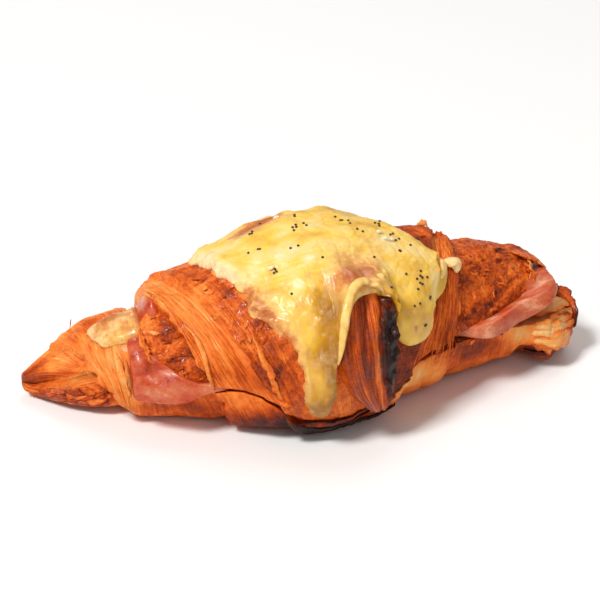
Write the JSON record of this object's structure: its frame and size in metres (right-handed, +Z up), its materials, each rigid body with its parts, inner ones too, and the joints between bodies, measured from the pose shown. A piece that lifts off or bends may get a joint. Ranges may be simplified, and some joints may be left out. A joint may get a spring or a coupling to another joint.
{
  "type": "ham and cheese croissant",
  "caption": "Baked croissant split along its front and filled with folded ham and cheese, with grated cheese and poppy seeds melted over its back.",
  "frame": {"origin": "on the flat underside of the lower half, below the middle of the croissant", "axes": "+X along the croissant from its burnt left tip to its right tip, +Y towards its back, so that the split and the tongue face -Y, +Z up"},
  "size_m": [0.1934, 0.0856, 0.0615],
  "materials": {
    "baked_pastry": "satin",
    "cooked_ham": "gloss",
    "cheese_slice": "satin",
    "melted_cheese": "satin"
  },
  "bodies": {
    "root": {"pastry_bottom": "baked_pastry", "pastry_top": "baked_pastry", "ham_left": "cooked_ham", "ham_right": "cooked_ham", "cheese_slice": "cheese_slice", "melted_cheese": "melted_cheese"}
  },
  "joints": []
}
